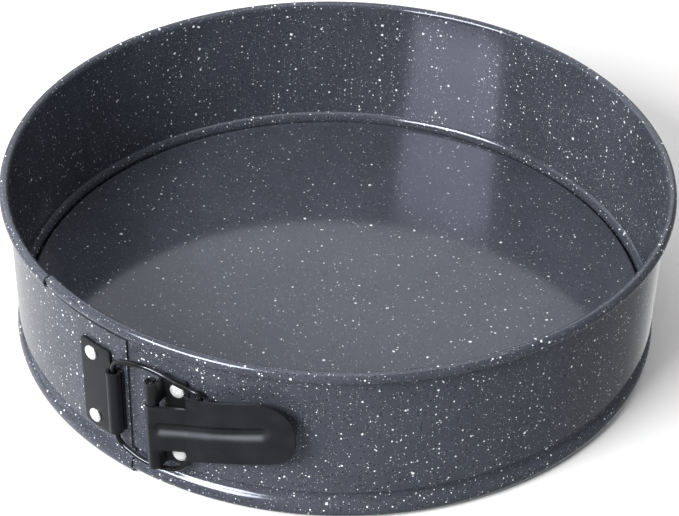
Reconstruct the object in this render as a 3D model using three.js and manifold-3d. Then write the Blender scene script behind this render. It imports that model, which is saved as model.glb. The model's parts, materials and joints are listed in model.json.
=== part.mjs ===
import * as THREE from 'three';
import { mergeVertices } from 'three/addons/utils/BufferGeometryUtils.js';
import Module from 'manifold-3d';

// A springform cake pan: a sheet band with a rolled rim, a loose base plate and an over-centre latch.
// Millimetres, +Z up. The latch faces -Y. The origin lies under the middle of the whole outline, on
// the plane the pan stands on. Angles are in degrees round the pan's axis, 0 at -Y, positive to +X.

const wasm = await Module();
wasm.setup();

// Band
const INSIDE_RADIUS = 130;
const BAND_HEIGHT = 70.5;
const SHEET = 0.7;
const GAP = 0.3;
const RIM_WIDTH = 4;
const RIM_HEIGHT = 4.8;
const RIM_END_ANGLE = -110;
const BEAD_DEPTH = 1.8;
const BEAD_Z = 10.1;
const BEAD_RISE = 3.1;
const FOOT_BULGE = 1.1;
const FOOT_FLAT = 1.2;
const HEM_RADIUS = 2.3;
const HEM_END_ANGLE = -245;

// Where the band is split and where its ends overlap
const SPLIT_ANGLE = 120;
const RIM_STEP_ANGLE = -27.8;
const SEAM_ANGLE = -9.6;
const SPREAD_START_ANGLE = -85;
const OUTER_LAYER_SHORTFALL = 7.2;
const FOOT_END_ANGLE = -48;

// Base plate
const PLATE_SHEET = 0.8;
const PLATE_CLEARANCE = 0.4;
const PLATE_TOP_Z = 9.9;
const PLATE_EDGE_RADIUS = 1.8;
const PLATE_SKIRT = 4.2;

// Latch
const FITTING_SHEET = 1;
const LATCH_TO_RIM = 10.4;
const LATCH_TO_BEAD = 2.1;
const RIVET_EDGE_DISTANCE = 5;
const RIVET_HEAD_RADIUS = 2.9;
const RIVET_HEAD_HEIGHT = 1.3;
const RIVET_SHANK_RADIUS = 1.5;
const RIVET_TAIL_HEIGHT = 0.7;
const CATCH_PLATE_ANGLES = [-19.4, -12.7];
const CATCH_RIVET_ANGLE = -16.9;
const CATCH_BARREL_ANGLE = -11.4;
const CATCH_BARREL_RADIUS = 2.75;
const CATCH_BARREL_SETBACK = 6;
const WIRE_RADIUS = 1;
const WIRE_CLEARANCE = 0.4;
const BRACKET_RIVET_ANGLE = 0;
const PIVOT_ANGLE = -3.3;
const PIVOT_STANDOFF = 6.3;
const PIN_RADIUS = 1.1;
const PIN_CLEARANCE = 0.3;
const KNUCKLE_SHEET = 1;
const BRACKET_BEND = 1.6;
const LEVER_SHEET = 1.2;
const LEVER_STANDOFF = 4.4;
const LEVER_TIP_LIFT = 0.8;
const LEVER_TIP_ANGLE = 19.4;
const LEVER_SETBACK = 6;
const KNUCKLE_LENGTH = 10;
const SHOULDER_ANGLE = 2.3;
const NECK_TILT = 6;
const ARM_TILT = 13.5;
const TIP_CORNER_RADIUS = 7;
const TIP_ROUND_RADIUS = 17;
const LEVER_GROOVE_DEPTH = 0.5;
const LEVER_GROOVE_WIDTH = 6.5;
const LEVER_GROOVE_ANGLES = [-0.5, 14.6];
const EAR_SHEET = 1;
const EAR_WALL = 1.2;
const HOOK_ANGLE = 4.3;
const HOOK_STANDOFF = 2.9;
const HOOK_PLAY = 0.3;
const HOOK_TRAVEL = [-3.1, 0.8];
const HOOK_DEPTH = 3;
const BAIL_CLEARANCE = 1.9;
const BAIL_HOOK_LENGTH = 3.6;
const BAIL_BEND = 1.6;
const BAIL_ARM_LIFT = 0.6;
const BAIL_ARM_ANGLES = [0.1, -8.6];
const BAIL_CREST_ANGLE = -4.7;
const BAIL_FALL_PER_SQUARE_DEGREE = 0.11;

// How finely round shapes are cut, and how far a cutting shape runs past what it cuts
const BAND_STEP = 6;
const FITTING_STEP = 1.5;
const POST_SIDES = 24;
const PIN_SIDES = 16;
const RIVET_SIDES = 20;
const WIRE_SIDES = 8;
const BAIL_STEPS = 70;
const LEVER_STEPS = 9;
const CUT_REACH = 12;
const CUT_LAP_ANGLE = 1;

// Worked out from the sizes above
const WALL_RADIUS = INSIDE_RADIUS + SHEET;
const MID_RADIUS = INSIDE_RADIUS + SHEET / 2;
const LAYER_PITCH = SHEET + GAP;
const OUTER_LAYER_RADIUS = WALL_RADIUS + LAYER_PITCH;
const PIVOT_RADIUS = WALL_RADIUS + PIVOT_STANDOFF;
const KNUCKLE_BORE = PIN_RADIUS + PIN_CLEARANCE;
const KNUCKLE_RADIUS = KNUCKLE_BORE + KNUCKLE_SHEET;
const CATCH_RADIUS = OUTER_LAYER_RADIUS + GAP + CATCH_BARREL_RADIUS;
const HOOK_RADIUS = WALL_RADIUS + HOOK_STANDOFF;
const LEVER_RADIUS = WALL_RADIUS + LEVER_STANDOFF + LEVER_SHEET / 2;
const PLATE_RADIUS = INSIDE_RADIUS - BEAD_DEPTH - PLATE_CLEARANCE;
const LATCH_TOP = BAND_HEIGHT - RIM_HEIGHT - LATCH_TO_RIM;
const LATCH_BOTTOM = BEAD_Z + BEAD_RISE + LATCH_TO_BEAD;
const LATCH_Z = (LATCH_TOP + LATCH_BOTTOM) / 2;
const FITTING_HEIGHT = LATCH_TOP - LATCH_BOTTOM;
const RIVET_SPACING = FITTING_HEIGHT - 2 * RIVET_EDGE_DISTANCE;
const CATCH_BARREL_HEIGHT = FITTING_HEIGHT - 2 * CATCH_BARREL_SETBACK;
const LEVER_HEIGHT = FITTING_HEIGHT - 2 * LEVER_SETBACK;
const LEVER_NECK_HEIGHT = FITTING_HEIGHT - 2 * KNUCKLE_LENGTH;
const BAIL_SPREAD = FITTING_HEIGHT / 2 + WIRE_RADIUS + BAIL_CLEARANCE;
const SLOT_HALF = WIRE_RADIUS + HOOK_PLAY;
const HOOK_X = HOOK_RADIUS * Math.sin(THREE.MathUtils.degToRad(HOOK_ANGLE));
const SLOT_LEFT = HOOK_X + HOOK_TRAVEL[0] - SLOT_HALF;
const SLOT_RIGHT = HOOK_X + HOOK_TRAVEL[1] + SLOT_HALF;
const BRACKET_END_X = SLOT_LEFT - EAR_WALL - GAP;
const BRACKET_END_TURN = Math.asin(BRACKET_END_X / (WALL_RADIUS + GAP + FITTING_SHEET));
const BRACKET_END_ANGLE = THREE.MathUtils.radToDeg(BRACKET_END_TURN);
const LATCH_REACH = PIVOT_RADIUS + KNUCKLE_RADIUS;
const RIM_REACH = INSIDE_RADIUS + RIM_WIDTH;
const PAN_Y = (LATCH_REACH - RIM_REACH) / 2;

const coating = new THREE.MeshStandardMaterial({ color: 0x6f7480, roughness: 0.45, metalness: 0.1 });
const paint = new THREE.MeshStandardMaterial({ color: 0x3d3e42, roughness: 0.5, metalness: 0.2 });
const aluminium = new THREE.MeshStandardMaterial({ color: 0xd9dadb, roughness: 0.3, metalness: 1 });
const steel = new THREE.MeshStandardMaterial({ color: 0x202124, roughness: 0.25, metalness: 0.6 });

// Solids

function solid(geometry) {
  geometry.deleteAttribute('normal');
  geometry.deleteAttribute('uv');
  const merged = mergeVertices(geometry);
  const index = Array.from(merged.index.array);
  const triangles = [];
  for (let i = 0; i < index.length; i += 3) {
    const [a, b, c] = index.slice(i, i + 3);
    if (a !== b && b !== c && c !== a) triangles.push(a, b, c);
  }
  const vertices = new Float32Array(merged.attributes.position.array);
  const make = (list) => new wasm.Manifold(new wasm.Mesh({
    numProp: 3,
    vertProperties: vertices,
    triVerts: new Uint32Array(list),
  }));
  const body = make(triangles);
  if (body.volume() > 0) return body;
  return make(triangles.reverse());
}

function named(name, body, material) {
  const { vertProperties, triVerts } = body.getMesh();
  const geometry = new THREE.BufferGeometry();
  geometry.setAttribute('position', new THREE.BufferAttribute(new Float32Array(vertProperties), 3));
  geometry.setIndex(new THREE.BufferAttribute(new Uint32Array(triVerts), 1));
  geometry.computeVertexNormals();
  const mesh = new THREE.Mesh(geometry, material);
  mesh.name = name;
  return mesh;
}

function polar(angle, radius) {
  const turn = THREE.MathUtils.degToRad(angle);
  return new THREE.Vector2(radius * Math.sin(turn), -radius * Math.cos(turn));
}

// Points on an arc of an ellipse, angles anticlockwise from the first axis
function arc(x, y, halfWidth, halfHeight, from, to, steps) {
  const points = [];
  for (let i = 0; i <= steps; i += 1) {
    const turn = THREE.MathUtils.degToRad(from + ((to - from) * i) / steps);
    points.push(new THREE.Vector2(x + halfWidth * Math.cos(turn), y + halfHeight * Math.sin(turn)));
  }
  return points;
}

// The closed outline of a bent sheet whose faces lie right and left of a centre line
function sheetOutline(line, right, left) {
  const side = (distance) => line.map((point, i) => {
    const before = point.clone().sub(line[Math.max(i - 1, 0)]);
    const after = line[Math.min(i + 1, line.length - 1)].clone().sub(point);
    if (i === 0) before.copy(after);
    if (i === line.length - 1) after.copy(before);
    const normal = before.normalize().add(after.normalize());
    normal.normalize();
    const stretch = 1 / normal.dot(after);
    return new THREE.Vector2(-normal.y, normal.x).multiplyScalar(distance * stretch).add(point);
  });
  return [...side(left), ...side(right).reverse()];
}

function prism(outline, low, high) {
  const geometry = new THREE.ExtrudeGeometry(new THREE.Shape(outline), {
    depth: high - low,
    bevelEnabled: false,
    steps: 1,
  });
  geometry.translate(0, 0, low);
  return solid(geometry);
}

function post(centre, radius, low, high, sides = POST_SIDES) {
  const geometry = new THREE.CylinderGeometry(radius, radius, high - low, sides);
  geometry.rotateX(Math.PI / 2);
  geometry.translate(centre.x, centre.y, (low + high) / 2);
  return solid(geometry);
}

// A round shape on a line that leaves the pan's axis at an angle; profile is radius and distance out
function radialTurned(profile, angle, z) {
  const geometry = new THREE.LatheGeometry(profile, RIVET_SIDES);
  geometry.rotateX(Math.PI);
  geometry.rotateZ(THREE.MathUtils.degToRad(angle));
  geometry.translate(0, 0, z);
  return solid(geometry);
}

// Band

function rimLine() {
  const halfWidth = (RIM_WIDTH - SHEET) / 2;
  const halfHeight = (RIM_HEIGHT - SHEET) / 2;
  const centreZ = BAND_HEIGHT - RIM_HEIGHT / 2;
  return arc(MID_RADIUS + halfWidth, centreZ, halfWidth, halfHeight, RIM_END_ANGLE, 180, 9);
}

// The bead and the foot are two arcs that meet on a common tangent
function beadLine(footEnd) {
  const bead = (BEAD_DEPTH ** 2 + BEAD_RISE ** 2) / (2 * BEAD_DEPTH);
  const beadCentre = MID_RADIUS - BEAD_DEPTH + bead;
  const side = beadCentre - MID_RADIUS - FOOT_BULGE;
  const drop = BEAD_Z - SHEET / 2;
  const half = drop + bead - side;
  const foot = half - Math.sqrt(half ** 2 - (drop ** 2 + side ** 2 - bead ** 2));
  const footCentre = beadCentre - side - foot;
  const footZ = foot + SHEET / 2;
  const crease = THREE.MathUtils.radToDeg(Math.atan2(BEAD_RISE, BEAD_DEPTH - bead));
  const meet = THREE.MathUtils.radToDeg(Math.atan2(BEAD_Z - footZ, beadCentre - footCentre));
  return {
    points: [
      ...arc(beadCentre, BEAD_Z, bead, bead, crease, 180 + meet, 5),
      ...arc(footCentre, footZ, foot, foot, meet, footEnd, 6).slice(1),
    ],
    hem: new THREE.Vector2(footCentre - FOOT_FLAT, SHEET / 2 + HEM_RADIUS),
  };
}

function bandSection() {
  const { points, hem } = beadLine(-90);
  const line = [
    ...rimLine(),
    ...points,
    ...arc(hem.x, hem.y, HEM_RADIUS, HEM_RADIUS, -90, HEM_END_ANGLE, 5),
  ];
  return sheetOutline(line, -SHEET / 2, SHEET / 2);
}

function outerLayerSection() {
  const top = new THREE.Vector2(MID_RADIUS, BAND_HEIGHT - OUTER_LAYER_SHORTFALL);
  const line = [top, ...beadLine(FOOT_END_ANGLE).points];
  return sheetOutline(line, LAYER_PITCH - SHEET / 2, LAYER_PITCH + SHEET / 2);
}

class BandPath extends THREE.Curve {
  constructor(from, to, spread) {
    super();
    this.from = from;
    this.to = to;
    this.spread = spread;
  }

  getPoint(t, target = new THREE.Vector3()) {
    const angle = this.from + (this.to - this.from) * t;
    const point = polar(angle, MID_RADIUS + this.spread(angle));
    return target.set(point.x, point.y, 0);
  }
}

function sweepBand(section, from, to, spread = () => 0) {
  const shape = new THREE.Shape(section.map((p) => new THREE.Vector2(-p.y, MID_RADIUS - p.x)));
  const geometry = new THREE.ExtrudeGeometry(shape, {
    steps: Math.ceil((to - from) / BAND_STEP),
    extrudePath: new BandPath(from, to, spread),
  });
  return solid(geometry);
}

// The catch side stands out by one sheet and a gap where it laps over the other end
function catchSpread(angle) {
  return LAYER_PITCH * THREE.MathUtils.smoothstep(angle, SPREAD_START_ANGLE, RIM_STEP_ANGLE - 2);
}

function gapAngle(gap) {
  return THREE.MathUtils.radToDeg(gap / WALL_RADIUS);
}

function rivetHoles(angle) {
  const profile = [
    new THREE.Vector2(0, WALL_RADIUS - CUT_REACH),
    new THREE.Vector2(RIVET_SHANK_RADIUS + GAP, WALL_RADIUS - CUT_REACH),
    new THREE.Vector2(RIVET_SHANK_RADIUS + GAP, WALL_RADIUS + CUT_REACH),
    new THREE.Vector2(0, WALL_RADIUS + CUT_REACH),
  ];
  const offset = RIVET_SPACING / 2;
  return radialTurned(profile, angle, LATCH_Z - offset).add(radialTurned(profile, angle, LATCH_Z + offset));
}

function bandBack() {
  const half = gapAngle(GAP) / 2;
  const back = sweepBand(bandSection(), SPLIT_ANGLE + half, 360 - SPLIT_ANGLE - half);
  return named('band_back', back, coating);
}

function bandCatchSide() {
  const start = -SPLIT_ANGLE + gapAngle(GAP) / 2;
  const side = sweepBand(bandSection(), start, RIM_STEP_ANGLE, catchSpread);
  const lap = sweepBand(outerLayerSection(), RIM_STEP_ANGLE - gapAngle(2 * SHEET), SEAM_ANGLE);
  return named('band_catch_side', side.add(lap).subtract(rivetHoles(CATCH_RIVET_ANGLE)), coating);
}

function bandLeverSide() {
  const start = RIM_STEP_ANGLE + gapAngle(2 * GAP);
  const end = SPLIT_ANGLE - gapAngle(GAP) / 2;
  const side = sweepBand(bandSection(), start, end).subtract(rivetHoles(BRACKET_RIVET_ANGLE));
  return named('band_lever_side', side, coating);
}

// Base plate, a flat disc with a rounded, turned-down edge

function basePlate() {
  const centre = PLATE_RADIUS - PLATE_EDGE_RADIUS;
  const edgeZ = PLATE_TOP_Z - PLATE_EDGE_RADIUS;
  const inner = PLATE_EDGE_RADIUS - PLATE_SHEET;
  const profile = [
    new THREE.Vector2(0, PLATE_TOP_Z - PLATE_SHEET),
    ...arc(centre, edgeZ, inner, inner, 90, 0, 4),
    new THREE.Vector2(PLATE_RADIUS - PLATE_SHEET, PLATE_TOP_Z - PLATE_SKIRT),
    new THREE.Vector2(PLATE_RADIUS, PLATE_TOP_Z - PLATE_SKIRT),
    ...arc(centre, edgeZ, PLATE_EDGE_RADIUS, PLATE_EDGE_RADIUS, 0, 90, 5),
    new THREE.Vector2(0, PLATE_TOP_Z),
  ];
  const geometry = new THREE.LatheGeometry(profile, 360 / BAND_STEP);
  geometry.rotateX(Math.PI / 2);
  return named('base_plate', solid(geometry), coating);
}

// Rivets

// The inner end of a rivet is plain, or spread into a flange against the inside of the band
function plainEnd(reach) {
  return [
    new THREE.Vector2(0, reach),
    new THREE.Vector2(RIVET_SHANK_RADIUS, reach),
  ];
}

function flangedEnd(face) {
  return [
    new THREE.Vector2(0, face - RIVET_TAIL_HEIGHT),
    new THREE.Vector2(RIVET_HEAD_RADIUS, face - RIVET_TAIL_HEIGHT),
    new THREE.Vector2(RIVET_HEAD_RADIUS, face),
    new THREE.Vector2(RIVET_SHANK_RADIUS, face),
  ];
}

function rivet(name, angle, seat, innerEnd, z) {
  const profile = [
    ...innerEnd,
    new THREE.Vector2(RIVET_SHANK_RADIUS, seat),
    ...arc(0, seat, RIVET_HEAD_RADIUS, RIVET_HEAD_HEIGHT, 0, 90, 4),
  ];
  return named(name, radialTurned(profile, angle, z), aluminium);
}

// Catch plate with the rolled barrel that holds the bail

function curvedPlate(inner, from, to, height) {
  const line = [];
  const steps = Math.max(2, Math.round((to - from) / FITTING_STEP));
  for (let i = 0; i <= steps; i += 1) {
    line.push(polar(from + ((to - from) * i) / steps, inner + FITTING_SHEET / 2));
  }
  const outline = sheetOutline(line, -FITTING_SHEET / 2, FITTING_SHEET / 2);
  return prism(outline, LATCH_Z - height / 2, LATCH_Z + height / 2);
}

function catchPlate() {
  const centre = polar(CATCH_BARREL_ANGLE, CATCH_RADIUS);
  const low = LATCH_Z - CATCH_BARREL_HEIGHT / 2;
  const high = LATCH_Z + CATCH_BARREL_HEIGHT / 2;
  const inner = OUTER_LAYER_RADIUS + GAP;
  const [from, to] = CATCH_PLATE_ANGLES;
  const plate = curvedPlate(inner, from, to, FITTING_HEIGHT);
  const tab = curvedPlate(inner, to - CUT_LAP_ANGLE, CATCH_BARREL_ANGLE, CATCH_BARREL_HEIGHT);
  const bore = post(centre, WIRE_RADIUS + WIRE_CLEARANCE, low - GAP, high + GAP);
  const body = plate
    .add(tab)
    .add(post(centre, CATCH_BARREL_RADIUS, low, high))
    .subtract(bore)
    .subtract(rivetHoles(CATCH_RIVET_ANGLE));
  return named('catch_plate', body, paint);
}

// Lever bracket: a plate with a riser and two knuckles round the hinge pin

function leverBracket() {
  const pivot = polar(PIVOT_ANGLE, PIVOT_RADIUS);
  const half = FITTING_HEIGHT / 2;
  const inner = WALL_RADIUS + GAP;
  const riser = KNUCKLE_RADIUS - KNUCKLE_SHEET / 2;
  const riserAngle = PIVOT_ANGLE + THREE.MathUtils.radToDeg(riser / PIVOT_RADIUS);
  const middle = inner + FITTING_SHEET / 2;
  const bend = [0, 45, 90].map((angle) => {
    const turn = THREE.MathUtils.degToRad(angle);
    const back = gapAngle(BRACKET_BEND) * (1 - Math.sin(turn));
    return polar(riserAngle + back, middle + BRACKET_BEND * (1 - Math.cos(turn)));
  });
  const line = [
    polar(BRACKET_END_ANGLE, middle),
    polar((BRACKET_END_ANGLE + BRACKET_RIVET_ANGLE) / 2, middle),
    polar(BRACKET_RIVET_ANGLE, middle),
    ...bend,
    polar(riserAngle, PIVOT_RADIUS),
  ];
  const outline = sheetOutline(line, -FITTING_SHEET / 2, FITTING_SHEET / 2);
  const sheet = prism(outline, LATCH_Z - half, LATCH_Z + half);
  const mouth = LEVER_NECK_HEIGHT / 2 + GAP;
  const neckRoom = post(pivot, KNUCKLE_RADIUS + 2 * GAP, LATCH_Z - mouth, LATCH_Z + mouth);
  const body = sheet
    .add(post(pivot, KNUCKLE_RADIUS, LATCH_Z - half, LATCH_Z + half))
    .subtract(neckRoom)
    .subtract(post(pivot, KNUCKLE_BORE, LATCH_Z - half - GAP, LATCH_Z + half + GAP))
    .subtract(rivetHoles(BRACKET_RIVET_ANGLE));
  return named('lever_bracket', body, paint);
}

function hingePin() {
  const half = FITTING_HEIGHT / 2;
  const pivot = polar(PIVOT_ANGLE, PIVOT_RADIUS);
  return named('hinge_pin', post(pivot, PIN_RADIUS, LATCH_Z - half, LATCH_Z + half, PIN_SIDES), steel);
}

// Lever

function leverLine() {
  const pivot = polar(PIVOT_ANGLE, PIVOT_RADIUS);
  const front = pivot.clone().sub(new THREE.Vector2(0, KNUCKLE_RADIUS - LEVER_SHEET / 2));
  const line = [front];
  for (let i = 0; i <= LEVER_STEPS; i += 1) {
    const along = i / LEVER_STEPS;
    const angle = SHOULDER_ANGLE + (LEVER_TIP_ANGLE - SHOULDER_ANGLE) * along;
    line.push(polar(angle, LEVER_RADIUS + LEVER_TIP_LIFT * along ** 2));
  }
  return line;
}

// The lever climbs towards its tip, gently along the neck and more along the arm
function leverRise(x) {
  const start = polar(PIVOT_ANGLE, PIVOT_RADIUS).x + KNUCKLE_RADIUS;
  const shoulder = polar(SHOULDER_ANGLE, LEVER_RADIUS).x;
  const neck = THREE.MathUtils.clamp(x, start, shoulder) - start;
  const arm = Math.max(x - shoulder, 0);
  return neck * Math.tan(THREE.MathUtils.degToRad(NECK_TILT))
    + arm * Math.tan(THREE.MathUtils.degToRad(ARM_TILT));
}

function climbing(outline) {
  return outline.map((point) => new THREE.Vector2(point.x, point.y + leverRise(point.x)));
}

// The lever seen from the front, as an outline of distance along X and height
function leverElevation() {
  const half = LEVER_HEIGHT / 2;
  const neck = LEVER_NECK_HEIGHT / 2;
  const pivot = polar(PIVOT_ANGLE, PIVOT_RADIUS).x;
  const left = pivot - KNUCKLE_RADIUS - GAP;
  const bend = pivot + KNUCKLE_RADIUS;
  const shoulder = polar(SHOULDER_ANGLE, LEVER_RADIUS).x;
  const tip = polar(LEVER_TIP_ANGLE, LEVER_RADIUS).x;
  const corner = Math.min(TIP_CORNER_RADIUS, half);
  const round = Math.min(TIP_ROUND_RADIUS, LEVER_HEIGHT - corner);
  return climbing([
    new THREE.Vector2(left, -neck),
    new THREE.Vector2(bend, -neck),
    new THREE.Vector2(shoulder, -neck),
    new THREE.Vector2(shoulder, -half),
    ...arc(tip - corner, corner - half, corner, corner, -90, 0, 5),
    ...arc(tip - round, half - round, round, round, 0, 90, 8),
    new THREE.Vector2(shoulder, half),
    new THREE.Vector2(shoulder, neck),
    new THREE.Vector2(bend, neck),
    new THREE.Vector2(left, neck),
  ]);
}

function frontPrism(outline) {
  const geometry = new THREE.ExtrudeGeometry(new THREE.Shape(outline), {
    depth: 2 * CUT_REACH,
    bevelEnabled: false,
    steps: 1,
  });
  geometry.rotateX(Math.PI / 2);
  geometry.translate(0, CUT_REACH - PIVOT_RADIUS, LATCH_Z);
  return solid(geometry);
}

// An ear bent in from the lever's edge, with a slot open to the wall for the bail's hook
function ear(z) {
  const hook = polar(HOOK_ANGLE, HOOK_RADIUS);
  const outer = -polar(HOOK_ANGLE, LEVER_RADIUS).y;
  const edge = -hook.y - SLOT_HALF;
  const slotTop = -hook.y + SLOT_HALF;
  const low = z - EAR_SHEET / 2;
  const high = z + EAR_SHEET / 2;
  const box = (x0, x1, y0, y1) => prism([
    new THREE.Vector2(x0, -y1),
    new THREE.Vector2(x1, -y1),
    new THREE.Vector2(x1, -y0),
    new THREE.Vector2(x0, -y0),
  ], low, high);
  const plate = box(SLOT_LEFT - EAR_WALL, SLOT_RIGHT + EAR_WALL, edge, outer);
  const slot = box(SLOT_LEFT, SLOT_RIGHT, edge - HOOK_DEPTH, slotTop);
  return plate.subtract(slot);
}

function lever() {
  const pivot = polar(PIVOT_ANGLE, PIVOT_RADIUS);
  const low = LATCH_Z - LEVER_HEIGHT / 2;
  const high = LATCH_Z + LEVER_HEIGHT / 2;
  const neck = LEVER_NECK_HEIGHT / 2;
  const hookRise = leverRise(polar(HOOK_ANGLE, HOOK_RADIUS).x);
  const top = high + leverRise(polar(LEVER_TIP_ANGLE, LEVER_RADIUS).x);
  const sheet = prism(sheetOutline(leverLine(), -LEVER_SHEET / 2, LEVER_SHEET / 2), low, top);
  const arm = sheet.intersect(frontPrism(leverElevation()));
  const [grooveFrom, grooveTo] = LEVER_GROOVE_ANGLES;
  const grooveHalf = LEVER_GROOVE_WIDTH / 2;
  const grooveStart = polar(grooveFrom, LEVER_RADIUS).x;
  const grooveEnd = polar(grooveTo, LEVER_RADIUS).x;
  const shoulder = polar(SHOULDER_ANGLE, LEVER_RADIUS).x;
  const grooveOutline = climbing([
    ...arc(grooveStart, 0, grooveHalf, grooveHalf, 90, 270, 6),
    new THREE.Vector2(shoulder, -grooveHalf),
    ...arc(grooveEnd, 0, grooveHalf, grooveHalf, -90, 90, 6),
    new THREE.Vector2(shoulder, grooveHalf),
  ]);
  const grooveFace = sheetOutline(leverLine(), -LEVER_SHEET, LEVER_GROOVE_DEPTH - LEVER_SHEET / 2);
  const groove = prism(grooveFace, low, top).intersect(frontPrism(grooveOutline));
  const body = arm
    .subtract(groove)
    .add(ear(high - EAR_SHEET / 2 + hookRise))
    .add(ear(low + EAR_SHEET / 2 + hookRise))
    .add(post(pivot, KNUCKLE_RADIUS, LATCH_Z - neck, LATCH_Z + neck))
    .subtract(post(pivot, KNUCKLE_BORE, LATCH_Z - neck - GAP, LATCH_Z + neck + GAP));
  return named('lever', body, paint);
}

// Bail: one wire whose leg turns in the catch barrel and whose hooks hold the lever's ears

function bailWire() {
  const armEnd = LEVER_HEIGHT / 2 + WIRE_RADIUS + WIRE_CLEARANCE;
  const barrel = CATCH_BARREL_HEIGHT / 2;
  const armRadius = HOOK_RADIUS + BAIL_ARM_LIFT;
  const [armFrom, armTo] = BAIL_ARM_ANGLES;
  const arm = [0, 1, 2, 3].map((i) => {
    const angle = armFrom + ((armTo - armFrom) * i) / 3;
    const rise = Math.sin((i * Math.PI) / 6);
    const fall = BAIL_FALL_PER_SQUARE_DEGREE * (angle - BAIL_CREST_ANGLE) ** 2;
    return [angle, armRadius + (CATCH_RADIUS - armRadius) * rise, BAIL_SPREAD - fall];
  });
  const hookRise = leverRise(polar(HOOK_ANGLE, HOOK_RADIUS).x);
  const hook = [
    [HOOK_ANGLE, HOOK_RADIUS, armEnd - BAIL_HOOK_LENGTH],
    [HOOK_ANGLE, HOOK_RADIUS, armEnd - BAIL_BEND],
    [HOOK_ANGLE - gapAngle(BAIL_BEND / 2), HOOK_RADIUS, armEnd],
    [HOOK_ANGLE - gapAngle(BAIL_HOOK_LENGTH), HOOK_RADIUS, armEnd + BAIL_BEND / 2],
  ];
  const leg = [
    [CATCH_BARREL_ANGLE + gapAngle(BAIL_BEND), CATCH_RADIUS, barrel + BAIL_BEND * 3],
    [CATCH_BARREL_ANGLE, CATCH_RADIUS, barrel + BAIL_BEND],
    [CATCH_BARREL_ANGLE, CATCH_RADIUS, barrel - BAIL_BEND],
  ];
  const half = (side) => [
    ...hook.map(([angle, radius, z]) => [angle, radius, side * z + hookRise]),
    ...[...arm, ...leg].map(([angle, radius, z]) => [angle, radius, side * z]),
  ];
  const points = [...half(1), ...half(-1).reverse()].map(([angle, radius, z]) => {
    const point = polar(angle, radius);
    return new THREE.Vector3(point.x, point.y, LATCH_Z + z);
  });
  const path = new THREE.CatmullRomCurve3(points, false, 'centripetal');
  const lastSide = 360 - 360 / WIRE_SIDES;
  const circle = new THREE.Shape(arc(0, 0, WIRE_RADIUS, WIRE_RADIUS, 0, lastSide, WIRE_SIDES - 1));
  const geometry = new THREE.ExtrudeGeometry(circle, { steps: BAIL_STEPS, extrudePath: path });
  return named('bail_wire', solid(geometry), steel);
}

const pan = new THREE.Group();
const upperZ = LATCH_Z + RIVET_SPACING / 2;
const lowerZ = LATCH_Z - RIVET_SPACING / 2;
const catchSeat = OUTER_LAYER_RADIUS + FITTING_SHEET + 2 * GAP;
const catchEnd = plainEnd(WALL_RADIUS + GAP);
const bracketSeat = WALL_RADIUS + FITTING_SHEET + 2 * GAP;
const bracketEnd = flangedEnd(INSIDE_RADIUS - GAP);
pan.add(
  bandBack(),
  bandCatchSide(),
  bandLeverSide(),
  basePlate(),
  catchPlate(),
  rivet('catch_rivet_upper', CATCH_RIVET_ANGLE, catchSeat, catchEnd, upperZ),
  rivet('catch_rivet_lower', CATCH_RIVET_ANGLE, catchSeat, catchEnd, lowerZ),
  leverBracket(),
  rivet('bracket_rivet_upper', BRACKET_RIVET_ANGLE, bracketSeat, bracketEnd, upperZ),
  rivet('bracket_rivet_lower', BRACKET_RIVET_ANGLE, bracketSeat, bracketEnd, lowerZ),
  hingePin(),
  lever(),
  bailWire(),
);
pan.position.y = PAN_Y;

export default pan;
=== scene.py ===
import json
import math

import bmesh
import bpy
from bpy.props import FloatProperty, FloatVectorProperty, PointerProperty
from mathutils import Matrix, Vector


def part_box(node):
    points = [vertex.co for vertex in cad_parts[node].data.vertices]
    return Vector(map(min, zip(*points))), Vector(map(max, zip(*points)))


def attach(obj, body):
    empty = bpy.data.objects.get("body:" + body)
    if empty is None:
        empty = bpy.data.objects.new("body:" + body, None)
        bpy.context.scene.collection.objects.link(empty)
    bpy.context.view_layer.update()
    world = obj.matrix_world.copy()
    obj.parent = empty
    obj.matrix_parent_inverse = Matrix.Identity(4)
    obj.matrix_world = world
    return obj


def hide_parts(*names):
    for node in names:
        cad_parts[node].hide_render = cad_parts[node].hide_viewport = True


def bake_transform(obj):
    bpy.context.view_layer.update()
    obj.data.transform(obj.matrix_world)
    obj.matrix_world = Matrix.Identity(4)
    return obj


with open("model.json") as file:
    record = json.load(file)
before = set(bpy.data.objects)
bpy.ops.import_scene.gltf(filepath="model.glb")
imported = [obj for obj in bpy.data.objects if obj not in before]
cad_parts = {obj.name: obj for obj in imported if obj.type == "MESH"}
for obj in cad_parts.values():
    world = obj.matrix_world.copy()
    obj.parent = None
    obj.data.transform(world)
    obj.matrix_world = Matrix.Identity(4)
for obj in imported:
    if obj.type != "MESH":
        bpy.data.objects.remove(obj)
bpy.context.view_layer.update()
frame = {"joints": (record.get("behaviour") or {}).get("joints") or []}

bl_info = {
    "name": "Springform pan",
    "version": (1, 0, 0),
    "blender": (4, 5, 0),
    "location": "View3D > Sidebar > Springform pan",
    "description": "Speckled springform pan with a rolled rim, a loose base plate and a lever latch",
    "category": "Add Mesh",
}

MM = 0.001
JOINTS = {joint["name"]: joint for joint in frame["joints"]}
PLATE_LOW, PLATE_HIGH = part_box("base_plate")
BAND_LOW, BAND_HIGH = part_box("band_back")
AXIS = (PLATE_LOW + PLATE_HIGH) / 2
PLATE_RADIUS = (PLATE_HIGH.x - PLATE_LOW.x) / 2
PIVOT = Vector(JOINTS["lever_throw"]["pos_m"])
CATCH = Vector(JOINTS["bail_swing"]["pos_m"])
LATCH_Z = PIVOT.z
GAP = 0.3 * MM


def angle_of(point):
    """Angle round the pan's axis in degrees, 0 at the latch and positive to the right."""
    return math.degrees(math.atan2(point.x - AXIS.x, AXIS.y - point.y))


def radius_of(point):
    return math.hypot(point.x - AXIS.x, point.y - AXIS.y)


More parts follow.
